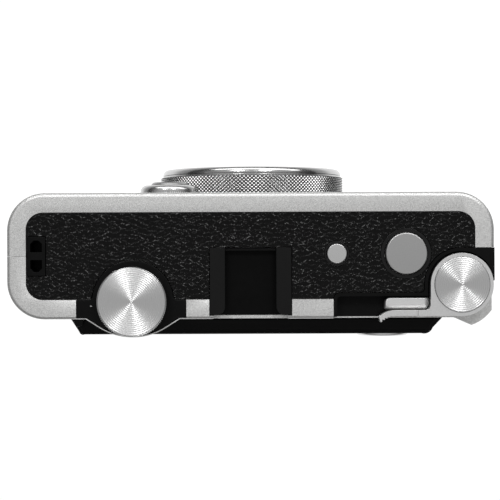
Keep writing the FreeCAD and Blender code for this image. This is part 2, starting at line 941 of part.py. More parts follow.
def lever_escutcheon():
    body = Body("lever_escutcheon")
    top = D.dial_base_top
    body.pad("XY", D.well_base, top - D.well_base, lever_base_plan(0))
    body.pocket("XY", D.well_floor, above, lever_well_plan())
    bore = circle(D.hub_across, D.hub_depth, D.shaft_radius + D.running_fit)
    body.pocket("XY", D.well_base - 1, above, bore)


def lever_rest():
    body = Body("lever_rest")
    x0, x1, y0, y1 = D.rest_outer, D.rest_inner, D.rest_front, D.rest_back
    r, top = 1.3, D.arm_top - 1.1
    outline = [(x0, y0), (x1 - r, y0, r), (x1, y0 + r), (x1, y1), (x0 + r, y1, r), (x0, y1 - r)]
    body.pad("XY", D.well_floor, top - D.well_floor, outline)

    def back_top(edge):
        b = box_of(edge)
        return abs(b[2] - y1.value) < 0.01 and abs(b[4] - top.value) < 0.01

    body.dress("Fillet", 1.4, back_top)


def button_collars():
    rings = []
    for x, inner, outer in (
        (D.shutter_across, D.shutter_radius, D.shutter_collar),
        (D.power_across, D.power_radius, D.power_collar),
    ):
        ring = rod((x, D.button_depth, D.deck_seat), outer, D.collar_top - D.deck_seat)
        bore = rod((x, D.button_depth, D.deck_seat - 1), inner + 0.2, above)
        rings.append(cut(ring, bore))
    keep(group(*rings), "button_collars")


def press_button(label, across, radius, stem, top, hollow):
    """A round deck button: a cap on a stem, held by a clip under the ceiling."""
    body = Body(label, at=(across, D.button_depth, 0))
    low, clip = D.button_low, D.shell_ceiling - 1.2
    bevel = 0.3
    profile = [
        (0, clip),
        (stem + 0.8, clip),
        (stem + 0.8, clip + 0.7),
        (stem, clip + 0.7),
        (stem, low + hollow),
        (radius - 0.85, low + hollow),
        (radius - 0.85, low),
        (radius, low),
        (radius, top - bevel),
        (radius - bevel, top),
        (radius - bevel * 2, top),
        (0, top - bevel),
    ]
    body.revolve("XZ", profile)


def shutter_spring():
    """A round wire coil under the shutter button's cap."""
    body = Body("shutter_spring", at=(D.shutter_across, D.button_depth, 0))
    wire, coil = 0.2, 3.2
    low = D.shutter_well + wire
    high = D.button_low + 1.7 - wire
    profile = body.sketch("XZ", 0, [circle(coil, low, wire)])
    helix = body.item.newObject("PartDesign::AdditiveHelix", "Helix")
    helix.Profile = profile
    helix.ReferenceAxis = (profile, ["V_Axis"])
    helix.Mode = "height-turns-angle"
    helix.Height = number(high - low)
    helix.Turns = 3.5
    bind(helix, "Height", high - low)
    body.built(helix, grows=True)


# ---- Effect dial and print lever ---------------------------------------------------------------


def effect_dial():
    body = Body("effect_dial", at=(D.dial_across, D.dial_depth, 0))
    r, low, top, seat = D.dial_radius, D.dial_low, D.dial_top, D.dial_seat
    bore, bowl = D.shaft_radius + 0.02, D.dial_cap_radius + 0.08
    profile = [
        (bore, low),
        (r - 0.3, low),
        (r, low + 0.3),
        (r, top - 0.2),
        (r - 0.2, top),
        (bowl, top),
        (bowl, seat),
        (bore, seat),
    ]
    body.revolve("XZ", profile)
    cap = rod((D.dial_across, D.dial_depth, seat), D.dial_cap_radius, top - seat + 0.15)
    keep(cap, "dial_cap")
    foot = D.shell_ceiling - 2
    shaft = rod((D.dial_across, D.dial_depth, foot), D.shaft_radius, seat - foot)
    keep(shaft, "dial_shaft")


def print_lever():
    body = Body("print_lever", at=(D.hub_across, D.hub_depth, 0))
    r, inner, bend = D.hub_radius, D.arm_inner, 1.4
    hub = [(0, r, r), (-r, 0, r), (0, -r, r)]
    corner = [(r, 0), (r, inner - bend, -bend), (r + bend, inner)]
    curve, turn, tip = 6.62, 16.6, 20.9
    arm = corner + [
        (turn, inner, curve),
        (tip, inner + 1.6),
        (tip - 0.5, inner + 3.1, -curve),
        (turn - 0.4, r),
    ]
    body.pad("XY", D.arm_low, D.arm_top - D.arm_low, arm + hub)
    body.pad("XY", D.hub_low, D.hub_top - D.hub_low, corner + [(11, inner), (11, r)] + hub)
    grooves = []
    for step in range(4):
        lean = math.radians(13.5 + 6.6 * step)
        x, y = turn - 0.4 + curve * math.sin(lean), r + curve * (1 - math.cos(lean))
        grooves.append(circle(x, y, 0.25))
    body.pocket("XY", D.arm_low - 1, above, *grooves)
    body.pocket("XY", D.hub_top - 0.5, above, circle(0, 0, D.hub_cap_radius + 0.12))
    body.pocket("XY", D.hub_low - 1, D.hub_top - D.hub_low, circle(0, 0, D.shaft_radius + 0.02))
    place = (D.hub_across, D.hub_depth)
    cap = rod((*place, D.hub_top - 0.5), D.hub_cap_radius, 1.1)
    keep(cap, "lever_cap")
    foot = D.shell_ceiling - 1.8
    shaft = rod((*place, foot), D.shaft_radius, D.hub_top - 1 - foot)
    clip = rod((*place, foot + 0.2), D.shaft_radius + 1.4, 1.2)
    keep(fuse(shaft, clip), "lever_shaft")


# ---- Lens --------------------------------------------------------------------------------------


def turned(label, profile, across=None, high=None):
    """A piece turned about a line that runs front to back: profile points are (radius, Y)."""
    x = D.lens_across if across is None else across
    body = Body(label, at=(x, 0, D.lens_high if high is None else high))
    body.revolve("XY", profile)
    return body


def lens():
    tube, bore = D.tube_radius, D.tube_bore
    seat = -half_deep + D.skin
    flange = D.ring_radius - 0.9
    turned("lens_base", [
        (bore, D.ring_front + 0.4),
        (tube, D.ring_front + 0.4),
        (tube, D.ring_back + 0.1),
        (flange, D.ring_back + 0.1),
        (flange, seat),
        (tube, seat),
        (tube, -12),
        (bore, -12),
    ])
    ring, loose = D.ring_radius, tube + 0.08
    turned("lens_dial", [
        (loose, D.ring_front),
        (ring, D.ring_front),
        (ring, D.ring_back),
        (loose, D.ring_back),
    ])
    bezel, front = D.bezel_radius, D.bezel_front
    turned("lens_bezel", [
        (D.bezel_bore, D.ring_front),
        (bezel, D.ring_front),
        (bezel, front + 1.2, -1.2),
        (bezel - 1.2, front),
        (D.bezel_bore + 2.4, front),
        (D.bezel_bore, front + 1.3),
    ])
    glass = -21.3
    turned("lens_cover_glass", [(0, glass), (bore - 0.1, glass), (bore - 0.1, glass + 0.8), (0, glass + 0.8)])
    barrel = D.barrel_radius
    turned("lens_baffle", [
        (bore - 0.1, glass + 0.85),
        (bore - 1.4, glass + 0.85),
        (barrel + 0.1, -16),
        (barrel + 0.1, -15),
        (barrel + 1.0, -15),
        (bore - 1.2, -19),
        (bore - 0.1, -19),
    ])
    inner = D.barrel_bore
    turned("lens_barrel", [
        (inner, -16.6),
        (barrel, -16.6),
        (barrel, -6),
        (inner - 1.6, -6),
        (inner - 1.6, -7),
        (inner, -7),
    ])
    elements = []
    x = D.lens_across
    for face, thick, reach in ((-15.9, 2.4, 11.0), (-10.4, 1.8, 9.0)):
        slab = rod((x, face, D.lens_high), inner - 0.05, thick, "Y")
        ball = doc.addObject("Part::Sphere", "Sphere")
        ball.Radius = reach
        put(ball, (x, face + reach, D.lens_high))
        elements.append(common(slab, ball))
    keep(group(*elements), "lens_elements")
    high = D.lens_high
    board = block((x - 11, -5.2, high - 10), (x + 11, -4.2, high + 10))
    chip = block((x - 4.5, -5.9, high - 3.6), (x + 4.5, -5.1, high + 3.6))
    keep(fuse(board, chip), "sensor_board")


# ---- Front of the body -------------------------------------------------------------------------


def front_pieces():
    seat = -half_deep + D.skin
    r, base = D.front_button_radius, D.front_base_radius
    place = {"across": D.front_button_across, "high": D.front_button_high}
    turned("front_button_base", [
        (r + 0.15, seat),
        (base, seat),
        (base, -16.9),
        (base - 1.6, -18.5),
        (r + 0.15, -18.5),
    ], **place)
    turned("front_button", [
        (0, -19.3),
        (r - 0.5, -19.3),
        (r, -18.8),
        (r, -16.2),
        (1.2, -16.2),
        (1.2, -13),
        (2.0, -13),
        (2.0, -12.4),
        (0, -12.4),
    ], **place)
    turned("selfie_mirror", [
        (0, -16.5),
        (D.mirror_radius, -15.8),
        (D.mirror_radius, seat),
        (0, seat),
    ], across=D.mirror_across, high=D.mirror_high)
    window = Body("flash_window")
    window.pad("XZ", -half_deep - 0.2, 2.0, flash_plan(0))
    x, z, half, rise = D.flash_across, D.flash_high, D.flash_half, D.flash_rise
    face = -half_deep + D.shell_wall
    shell = block((x - half + 0.2, face, z - rise + 0.2), (x + half - 0.2, face + 5, z + rise - 0.2))
    trough = rod((x - half - 1, face, z), 3.6, half * 2 + 2, "X")
    keep(cut(shell, trough), "flash_reflector")
    keep(rod((x - half + 0.5, face + 1.5, z), 1.1, half * 2 - 1, "X"), "flash_tube")


# ---- Film door ---------------------------------------------------------------------------------


def door_plan(inset):
    """The door's plan: a shallow bump with sloping sides."""
    base, face = D.door_half - inset * 1.3, D.door_face_half - inset * 0.5
    low, high, soft, bend = D.door_base, D.door_face - inset, 0.7, 1.0
    free_base, free_face = base + D.door_lip, face + D.door_lip * 0.85
    back, spread, drop, free_bend = 2.2, 0.8, 1.5, 2.4
    return [
        (base, low),
        (face + soft, high - soft, bend),
        (face - soft, high),
        (back - free_face, high, free_bend),
        (-free_face - spread, high - drop),
        (-free_base, low),
    ]


def screen_plan(inset):
    return round_rectangle(
        D.screen_left + inset, D.screen_low + inset, D.screen_right - inset, D.screen_high - inset, 1.5
    )


def keys():
    """Place, radius and face of each key on the door."""
    return {
        "play_button": (D.play_high, D.key_radius, D.key_face),
        "nav_pad": (D.nav_high, D.nav_radius, D.nav_face),
        "back_button": (D.back_high, D.key_radius, D.key_face),
    }


def film_door():
    body = Body("film_door")
    body.pad("XY", D.door_low, D.door_high - D.door_low, door_plan(D.door_skin))
    body.dress("Chamfer", 0.7, either(level_edge("Z", D.door_low), level_edge("Z", D.door_high)))
    plug = rectangle(-D.plug_half, D.plug_low, D.plug_half, D.plug_high)
    body.pad("XZ", D.plug_depth, D.door_base - D.plug_depth + 0.5, plug)
    face = D.door_face - D.door_skin
    inner = face - D.door_wall
    hollow = rectangle(-D.plug_half + 1.1, D.plug_low + 1.3, D.hinge_across - 2, D.plug_high - 1.3)
    body.pocket("XZ", D.plug_depth - 1, inner - D.plug_depth + 1, hollow)
    body.pocket("XZ", face - 0.8, above, screen_plan(-0.1))
    body.pocket("XZ", D.plug_depth, above, screen_plan(3.4))
    for high, radius, _ in keys().values():
        body.pocket("XZ", D.plug_depth, above, circle(D.key_across, high, radius + 0.15))
    hole = circle(D.hinge_across, D.hinge_depth, D.pin_radius + D.running_fit)
    body.pocket("XY", D.door_high - 3, above, hole)
    body.pocket("XY", D.door_low - 1, 4, hole)
    body.pocket("XZ", D.door_base - 1, above, latch_notch())


def door_leather():
    body = Body("door_leather")
    edge = 0.8
    body.pad("XY", D.door_low + edge, D.door_high - D.door_low - edge * 2, door_plan(0))
    body.pocket("XY", D.door_low - 1, D.door_high - D.door_low + 2, door_plan_filled(D.door_skin))
    body.pocket("XZ", D.door_base, above, screen_plan(-0.15))
    for high, radius, _ in keys().values():
        body.pocket("XZ", D.door_base, above, circle(D.key_across, high, radius + 0.25))
    body.pocket("XZ", D.door_base - 1, above, latch_notch())


def door_plan_filled(inset):
    """The door's own outline, carried on inwards, to cut it out of the leather."""
    plan = door_plan(inset)
    (x, y), (x1, y1) = plan[0], plan[-1]
    return plan + [(x1, y1 - 3), (x, y - 3)]


def door_pieces():
    face = D.door_face - D.door_skin
    glass = Body("lcd_glass")
    glass.pad("XZ", face - 0.8, D.door_skin + 0.7, screen_plan(0))
    inner = face - D.door_wall
    low, high = D.screen_low + 1.5, D.screen_high - 1.5
    module = block((D.screen_left + 1.5, inner - 2, low), (D.screen_right - 1.5, inner, high))
    keep(module, "lcd_module")
    for label, (high, radius, top) in keys().items():
        soft = 0.5
        turned(label, [
            (0, inner - 1.0),
            (radius + 0.7, inner - 1.0),
            (radius + 0.7, inner - 0.1),
            (radius, inner - 0.1),
            (radius, top - soft),
            (radius - soft, top),
            (0, top),
        ], across=D.key_across, high=high)


def hinge_brackets():
    """Two ears on the rear cover, each with a pin that stands in the door."""
    x, y, r, thick = D.hinge_across, D.hinge_depth, D.ear_radius, D.ear_thick
    brackets = []
    for low, pin_low in ((D.door_high + 0.3, D.door_high - 2.8), (D.door_low - 0.3 - thick, None)):
        ear = rod((x, y, low), r, thick)
        foot = block((x - r, half_deep, low), (x + r, y, low + thick))
        start = low if pin_low is None else pin_low
        pin = rod((x, y, start), D.pin_radius, thick + 3.1)
        brackets.append(fuse(ear, foot, pin))
    keep(group(*brackets), "hinge_brackets")


def door_latch():
    """A sliding knob, its stem through the slot, and the shoe that holds it behind the cover."""
    x, z, face = D.latch_across, D.latch_high, half_deep
    top = z + D.latch_reach - 0.2
    knob = block((x - 1.8, face - 0.75, z - 1.8), (x + 1.8, face - 0.1, top))
    stem = block((x - 0.7, face - 2.5, z - 0.6), (x + 0.7, face - 0.5, z + 4.6))
    shoe = block((x - 1.5, face - 3.4, z - 2), (x + 1.0, face - 2.0, top))
    keep(fuse(knob, stem, shoe), "door_latch")


# ---- Film transport ----------------------------------------------------------------------------


def involute(angle):
    return math.tan(angle) - angle


def gear(teeth, place, phase, bore=0):
    """An involute spur gear with a tooth centred at the phase angle, in degrees."""
    module, pressure, play = D.gear_module.value, math.radians(25), 0.05
    pitch = module * teeth / 2
    base = pitch * math.cos(pressure)
    root, tip = pitch - 1.1 * module, pitch + 0.8 * module
    foot = max(base, root)
    half = math.pi / (2 * teeth) + involute(pressure) - play / (2 * pitch)
    flank = []
    for step in range(6):
        radius = foot + (tip - foot) * step / 5
        flank.append((radius, half - involute(math.acos(min(1.0, base / radius)))))
    points = []
    for tooth in range(teeth):
        middle = math.radians(phase) + 2 * math.pi * tooth / teeth
        rise = [(root, -flank[0][1])] + [(radius, -lean) for radius, lean in flank]
        fall = [(radius, lean) for radius, lean in reversed(flank)] + [(root, flank[0][1])]
        for radius, lean in rise + fall:
            points.append(Vector(radius * math.cos(middle + lean), radius * math.sin(middle + lean), 0))
    points = [p for i, p in enumerate(points) if (p - points[i - 1]).Length > 1e-4]
    face = Part.Face(Part.makePolygon(points + points[:1]))
    solid = face.extrude(Vector(0, 0, D.gear_thick.value))
    if bore:
        solid = solid.cut(Part.makeCylinder(bore, D.gear_thick.value))
    item = doc.addObject("Part::Feature", "Gear")
    item.Shape = solid
    return put(item, (*place, D.gear_low))


def meshing(phase, teeth, other, heading):
    """The phase of a gear that meshes with another one, which lies along a heading from it."""
    return heading + 180 + 180 / other - (phase - heading) * teeth / other


def transport():
    x, y, small, large = D.roller_across, D.film_plane, 12, 24
    spread = D.gear_module * small
    front, rear = (x, y - spread / 2), (x, y + spread / 2)
    reach = D.gear_module * (small + large) / 2
    lean, swing = math.radians(-104.4), math.radians(187)
    idler = (front[0] + reach * math.cos(lean), front[1] + reach * math.sin(lean))
    pinion = (idler[0] + reach * math.cos(swing), idler[1] + reach * math.sin(swing))
    phases = {"front": 0.0, "rear": meshing(0.0, small, small, 90)}
    phases["idler"] = meshing(phases["front"], small, large, -104.4)
    phases["pinion"] = meshing(phases["idler"], large, small, 187)

    for label, place, name in (("front_roller", front, "front"), ("rear_roller", rear, "rear")):
        barrel = rod((*place, D.exit_low), D.roller_radius, D.exit_high - 1 - D.exit_low)
        journal = rod((*place, D.pack_low - 0.4), D.journal_radius, D.gear_low - D.pack_low + 1.4)
        keep(fuse(barrel, journal, gear(small, place, phases[name])), label)
    keep(gear(large, idler, phases["idler"], bore=1.05), "idler_gear")
    stem = rod((*pinion, D.gear_low - 6), 0.75, 8.2)
    keep(fuse(stem, gear(small, pinion, phases["pinion"])), "motor_pinion")
    shelf = D.gear_low - 2.2
    case = rod((*pinion, 45), D.motor_radius, shelf - 45.05)
    keep(cut(case, rod((*pinion, D.gear_low - 6.5), 0.8, above)), "film_motor")
    chassis(front, rear, idler, pinion, shelf)


def chassis(front, rear, idler, pinion, shelf):
    """The inner frame: a wall in front of the film, with bearings for the rollers."""
    body = Body("chassis")
    wall, back, thick = -1.2, -0.1, 1.8
    edge = D.shell_ceiling - 3.8
    left = -half_wide + D.shell_wall + 0.05
    body.pad("XZ", wall, back - wall, rectangle(left, D.shell_floor, 48, edge))
    body.pad("XZ", wall, back - wall, rectangle(-8, edge - 1, 4, D.shell_ceiling))
    body.pocket("XZ", wall - 1, back - wall + 2, rectangle(-6.5, 0, 6.5, 7.6))
    upper = [(38, -12.6), (53.5, -12.6), (56.5, -9.5), (56.5, 8.9), (47, 8.9), (47, back), (38, back)]
    body.pad("XY", shelf, thick, upper)
    lower = [(47, wall), (56.5, wall), (56.5, 8.9), (47, 8.9)]
    body.pad("XY", D.exit_low - 2.3, thick, lower)
    bearings = [circle(*place, D.journal_radius + D.running_fit) for place in (front, rear)]
    body.pocket("XY", D.exit_low - 5, 80, *bearings)
    body.pocket("XY", shelf - 1, 4, circle(*pinion, 1.2))
    body.pad("XY", shelf + thick - 0.5, D.gear_thick + 1.2, circle(*idler, 1.0))


def film():
    x, y0, y1, z0, z1 = D.pack_half, D.pack_front, D.pack_back, D.pack_low, D.pack_high
    wall = 1.3
    case = block((-x, y0, z0), (x, y1, z1))
    inside = block((wall - x, y0 + wall, z0 + wall), (x - wall, y1 - wall, z1 - wall))
    window = block((-31, y0 - 1, z0 + 7.4), (31, y0 + wall + 1, z1 - 7.4))
    slit = block((x - 3, D.film_plane - 0.7, z0 + 2.1), (x + 1, D.film_plane + 0.9, z1 - 2.1))
    keep(cut(case, inside, window, slit), "film_pack")
    keep(block((3 - x, y0 + wall + 0.1, z0 + 3.4), (x - 3, y0 + wall + 4.6, z1 - 3.4)), "film_stack")
    keep(block((46.4, -0.1, D.exit_low), (49.4, 1.7, D.exit_high - 1)), "print_head")


def film_exit_bezel():
    y, skin = D.film_plane, half_wide - D.skin
    plate = block((skin, y - 2.7, D.exit_low - 1.5), (half_wide - 0.05, y + 2.7, D.exit_high + 1.5))
    slot = block((skin - 1, y - D.slot_half, D.exit_low), (half_wide + 1, y + D.slot_half, D.exit_high))
    keep(cut(plate, slot), "film_exit_bezel")


# ---- Electronics -------------------------------------------------------------------------------


def electronics():
    board = block((-56, -2.6, 7.5), (34, -1.6, 58))
    chips = [block((x, -3.6, z), (x + wide, -2.5, z + tall)) for x, z, wide, tall in (
        (-52, 46, 12, 9),
        (16, 46, 14, 9),
        (18, 12, 10, 10),
    )]
    posts = [rod((x, -2.0, z), 1.4, 0.8, "Y") for x in (-53, 31) for z in (9, 55)]
    keep(fuse(board, *chips, *posts), "main_board")
    cell = block((-55, -13.2, 6), (-23, -6.4, 42))
    keep(rounded(cell, 3.0, along("Z", 6, 42)), "battery")
    under = D.shell_ceiling - 3.6
    deck = block((-57, 0.3, under), (37, 12.6, under + 1))
    x, y = D.dial_across, D.dial_depth
    encoder = block((x - 4.5, y - 5, under + 0.5), (x + 4.5, y + 1.1, under + 3.2))
    socket = rod((x, y, under + 0.8), D.shaft_radius + D.running_fit + 0.05, above)
    lever_switch = block((-57, 3.4, under + 0.5), (-49.6, 11.6, under + 1.6))
    shutter_switch = block((-42.2, 0.4, under + 0.5), (-36.2, 3.4, under + 1.1))
    keep(cut(fuse(deck, encoder, lever_switch, shutter_switch), socket), "top_board")


# ---- Build, check and write ---------------------------------------------------------------------

front_cover()
rear_cover()
front_leather()
rear_leather()
bottom_plate()
base_screws()
tripod_socket()
deck_sheet("top_panel", D.deck_seat, D.panel_thick)
deck_sheet("top_leather", D.deck_seat + D.panel_thick, D.skin)
strap_lug()
accessory_shoe()
dial_escutcheon()
lever_escutcheon()
lever_rest()
button_collars()
press_button("shutter_button", D.shutter_across, D.shutter_radius, 1.5, D.button_low + 3.1, 1.7)
press_button("power_button", D.power_across, D.power_radius, 1.0, D.button_low + 2.6, 0.3)
shutter_spring()
effect_dial()
print_lever()
lens()
front_pieces()
film_door()
door_leather()
door_pieces()
hinge_brackets()
door_latch()
transport()
film()
film_exit_bezel()
electronics()

doc.recompute()
failed = [item.Label for item in doc.Objects if {"Invalid", "Error"} & set(item.State)]
failed += [label for label, item in pieces.items() if item.Shape.isNull() or not item.Shape.isValid()]
if failed:
    raise SystemExit(f"these pieces failed: {failed}")
os.makedirs("parts", exist_ok=True)
for label, item in pieces.items():
    item.Shape.exportStep(f"parts/{label}.step")
print(len(pieces), "pieces written")
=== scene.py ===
import json
import math

import bmesh
import bpy
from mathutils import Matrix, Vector


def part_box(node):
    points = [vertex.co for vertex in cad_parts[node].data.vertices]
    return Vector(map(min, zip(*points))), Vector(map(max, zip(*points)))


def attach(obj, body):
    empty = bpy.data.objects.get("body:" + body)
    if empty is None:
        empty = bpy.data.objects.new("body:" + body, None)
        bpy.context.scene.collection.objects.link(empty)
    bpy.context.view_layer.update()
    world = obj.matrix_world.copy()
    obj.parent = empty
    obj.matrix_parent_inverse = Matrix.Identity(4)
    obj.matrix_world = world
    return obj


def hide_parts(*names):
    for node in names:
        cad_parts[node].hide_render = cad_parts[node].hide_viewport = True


# The looks of the instant-film camera. Profiles, textures and named sizes are in millimetres. Lamps, the
# floor and the camera are in metres. The CAD frame gives every place: +X towards the effect dial, -Y towards
# the lens, +Z up.

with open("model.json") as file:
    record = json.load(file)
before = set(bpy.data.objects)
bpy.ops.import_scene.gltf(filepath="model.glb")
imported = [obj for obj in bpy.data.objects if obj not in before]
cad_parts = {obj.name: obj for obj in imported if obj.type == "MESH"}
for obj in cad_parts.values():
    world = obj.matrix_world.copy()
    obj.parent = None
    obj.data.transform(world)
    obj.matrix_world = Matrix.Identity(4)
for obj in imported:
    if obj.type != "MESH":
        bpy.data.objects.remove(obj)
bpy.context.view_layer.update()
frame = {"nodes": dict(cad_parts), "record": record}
NODES = frame["nodes"]
BODY_OF = {node: body for body, nodes in frame["record"]["behaviour"]["bodies"].items() for node in nodes}
SLOT_OF = {part["node"]: part["material_slot"] for part in frame["record"]["subparts"]}
MM = 0.001
KNURL_DEPTH = 0.3
GLASS_INDEX = 1.5


def extent(node):
    """The low and high corners of a CAD node's box, in millimetres."""
    return [Vector(corner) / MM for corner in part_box(node)]


def axis_foot(node, axis):
    """The point at level zero on the axis through the middle of a CAD node's box, in metres."""
    low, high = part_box(node)
    foot = (Vector(low) + Vector(high)) / 2
    foot["XYZ".index(axis)] = 0
    return foot


# ---- Materials ---------------------------------------------------------------------------------


def set_stops(ramp, stops):
    """Sets a colour ramp's (position, value) stops. A plain number stands for a grey."""
    for index, (position, value) in enumerate(stops):
        element = ramp.elements[index] if index < 2 else ramp.elements.new(position)
        element.position = position
        element.color = (*value, 1) if isinstance(value, tuple) else (value, value, value, 1)


class Look:
    """A procedural material: a principled shader and the nodes that feed it. Textures are in millimetres."""

    def __init__(self, name, colour, roughness=0.5, metallic=0.0, **sockets):
        self.material = bpy.data.materials.new(name)
        self.material.use_nodes = True
        self.nodes = self.material.node_tree.nodes
        self.links = self.material.node_tree.links
        self.shader = self.nodes["Principled BSDF"]
        self.shader.inputs["Base Color"].default_value = (*colour, 1)
        self.shader.inputs["Roughness"].default_value = roughness
        self.shader.inputs["Metallic"].default_value = metallic
        for socket, value in sockets.items():
            self.shader.inputs[socket.replace("_", " ")].default_value = value
        coordinates = self.nodes.new("ShaderNodeTexCoord")
        mapping = self.nodes.new("ShaderNodeMapping")
        mapping.inputs["Scale"].default_value = (1 / MM, 1 / MM, 1 / MM)
        self.links.new(coordinates.outputs["Object"], mapping.inputs["Vector"])
        self.place = mapping.outputs["Vector"]

    def wire(self, source, node, socket):
        """Feeds a socket with a number or with another node's output."""
        if isinstance(source, (int, float)):
            node.inputs[socket].default_value = source
        else:
            self.links.new(source, node.inputs[socket])

    def noise(self, scale, detail=2.0, rough=0.5):
        node = self.nodes.new("ShaderNodeTexNoise")
        node.inputs["Scale"].default_value = scale
        node.inputs["Detail"].default_value = detail
        node.inputs["Roughness"].default_value = rough
        self.links.new(self.place, node.inputs["Vector"])
        return node.outputs["Fac"]

    def cell_edges(self, scale, vector=None):
        """The distance to the nearest edge of a pattern of cells."""
        node = self.nodes.new("ShaderNodeTexVoronoi")
        node.feature = "DISTANCE_TO_EDGE"
        node.inputs["Scale"].default_value = scale
        self.links.new(vector or self.place, node.inputs["Vector"])
        return node.outputs["Distance"]

    def warped(self, scale, amount):
        """Coordinates that a noise pushes about, so that a pattern isn't regular."""
        node = self.nodes.new("ShaderNodeTexNoise")
        node.inputs["Scale"].default_value = scale
        self.links.new(self.place, node.inputs["Vector"])
        mix = self.nodes.new("ShaderNodeVectorMath")
        mix.operation = "MULTIPLY_ADD"
        self.links.new(node.outputs["Color"], mix.inputs[0])
        mix.inputs[1].default_value = (amount, amount, amount)
        self.links.new(self.place, mix.inputs[2])
        return mix.outputs["Vector"]

    def split(self):
        """The place as separate X, Y and Z, in millimetres."""
        node = self.nodes.new("ShaderNodeSeparateXYZ")
        self.links.new(self.place, node.inputs["Vector"])
        return node.outputs

    def curve(self, source, *stops):
        """Maps a value through (position, value) stops."""
        node = self.nodes.new("ShaderNodeValToRGB")
        set_stops(node.color_ramp, stops)
        self.links.new(source, node.inputs["Fac"])
        return node.outputs["Color"]

    def maths(self, operation, a, b=0.0):
        node = self.nodes.new("ShaderNodeMath")
        node.operation = operation
        self.wire(a, node, 0)
        self.wire(b, node, 1)
        return node.outputs["Value"]

    def set(self, socket, source):
        self.links.new(source, self.shader.inputs[socket])
        return self

    def bump(self, height, depth_mm, strength):
        """Raises the surface by a height texture; bumps stack on the one set before."""
        node = self.nodes.new("ShaderNodeBump")
        node.inputs["Strength"].default_value = strength
        node.inputs["Distance"].default_value = depth_mm * MM
        self.links.new(height, node.inputs["Height"])
        earlier = self.shader.inputs["Normal"].links
        if earlier:
            self.links.new(earlier[0].from_socket, node.inputs["Normal"])
        self.links.new(node.outputs["Normal"], self.shader.inputs["Normal"])
        return self

    def round_grain(self, strength):
        """Brushing that runs in circles about the upright axis through the piece's middle."""
        quarter_turn = 0.25
        self.shader.inputs["Anisotropic"].default_value = strength
        self.shader.inputs["Anisotropic Rotation"].default_value = quarter_turn
        tangent = self.nodes.new("ShaderNodeTangent")
        tangent.direction_type = "RADIAL"
        tangent.axis = "Z"
        return self.set("Tangent", tangent.outputs["Tangent"])


def silver_paint():
    """Satin silver with a fine metallic grain under a thin clear coat."""
    look = Look("silver_paint", (0.5, 0.5, 0.495), 0.42, 0.75, Coat_Weight=0.35, Coat_Roughness=0.2)
    dark, pale = (0.28, 0.28, 0.277), (0.93, 0.93, 0.92)
    grain = look.noise(5.6, 3.0, 0.75)
    look.set("Base Color", look.curve(grain, (0.32, dark), (0.7, pale)))
    look.set("Roughness", look.curve(grain, (0.3, 0.46), (0.72, 0.38)))
    return look.bump(look.noise(5.0, 2.0, 0.6), 0.02, 0.6)


def leatherette():
    """Black pebbled leatherette: rounded grains between fine creases."""
    cell = 1.1
    look = Look("leatherette", (0.003, 0.003, 0.003), 0.12, Specular_IOR_Level=0.18)
    creases = look.cell_edges(1.0 / cell, look.warped(0.9 / cell, 0.5 * cell))
    pebble = look.curve(creases, (0.0, 0.0), (0.12, 0.62), (0.3, 1.0))
    fine = look.noise(3.4 / cell, 4.0, 0.6)
    look.set("Base Color", look.curve(fine, (0.3, 0.0002), (0.75, (0.0012, 0.0011, 0.0011))))
    look.set("Roughness", look.curve(pebble, (0.0, 0.14), (1.0, 0.11)))
    look.bump(pebble, 0.085, 1.0)
    return look.bump(fine, 0.008, 0.5)


def moulding(name, shade, roughness, grain, gloss):
    """A black moulded surface with a fine spark-eroded texture; gloss is the strength of its reflection."""
    look = Look(name, (shade, shade, shade * 1.02), roughness, Specular_IOR_Level=gloss)
    fine = look.noise(7.0, 2.0, 0.6)
    worn = look.noise(0.5, 3.0)
    look.set("Roughness", look.curve(worn, (0.3, roughness - 0.06), (0.7, roughness + 0.08)))
    return look.bump(fine, grain, 0.6)


def shoe_black():
    """The shoe's black coat, with painted shade that makes the recessed floor between the rails darker than
    the rails.
    """
    span, floor_level, rail_level = 100, 84.5, 86.0
    look = moulding("rail_black", 0.006, 0.42, 0.006, 0.07)
    height = look.maths("DIVIDE", look.split()["Z"], span)
    # Painted shade: darker at the floor's level than at the rails' level.
    painted_recess_shade = look.curve(height, (floor_level / span, 0.0012), (rail_level / span, 0.0085))
    return look.set("Base Color", painted_recess_shade)


def bare_metal(name, shade, roughness, grain=0.004, vary=0.13):
    """Metal with a fine bead-blasted grain, whose shade varies by a share."""
    look = Look(name, (shade, shade, shade * 0.995), roughness, 1.0)
    fine = look.noise(6.0, 3.0, 0.65)
    low, high = shade * (1 - vary), min(1.0, shade * (1 + vary))
    look.set("Base Color", look.curve(fine, (0.3, low), (0.7, (high, high, high * 0.995))))
    return look.bump(fine, grain, 0.5)


def spun_metal():
    """Metal turned on a lathe: the grooves are in the mesh, and the finest ones in the shader."""
    return Look("spun_metal", (0.73, 0.73, 0.73), 0.36, 1.0).round_grain(0.9)


def ring_metal():
    """Polished flats over knurl grooves darkened by painted shade; the grooves are told apart by their
    distance from the lens's axis.
    """
    flat, groove = 0.86, 0.07
    low, high = extent("lens_dial")
    root = (high.x - low.x) / 2 - KNURL_DEPTH
    look = Look("ring_metal", (flat, flat, flat), 0.24, 1.0)
    place = look.split()
    away = [look.maths("SUBTRACT", place[axis], (low[n] + high[n]) / 2) for n, axis in ((0, "X"), (2, "Z"))]
    squares = [look.maths("MULTIPLY", value, value) for value in away]
    reach = look.maths("SQRT", look.maths("ADD", *squares))
    share = look.maths("DIVIDE", look.maths("SUBTRACT", reach, root), KNURL_DEPTH)
    # Painted shade: the colour goes dark towards the bottom of the knurl grooves.
    look.set("Base Color", look.curve(share, (0.15, groove), (0.45, flat)))
    return look.bump(look.noise(6.0), 0.001, 0.4)


def brass():
    look = Look("brass", (0.72, 0.55, 0.25), 0.32, 1.0)
    return look.bump(look.noise(3.0, 3.0), 0.004, 0.4)


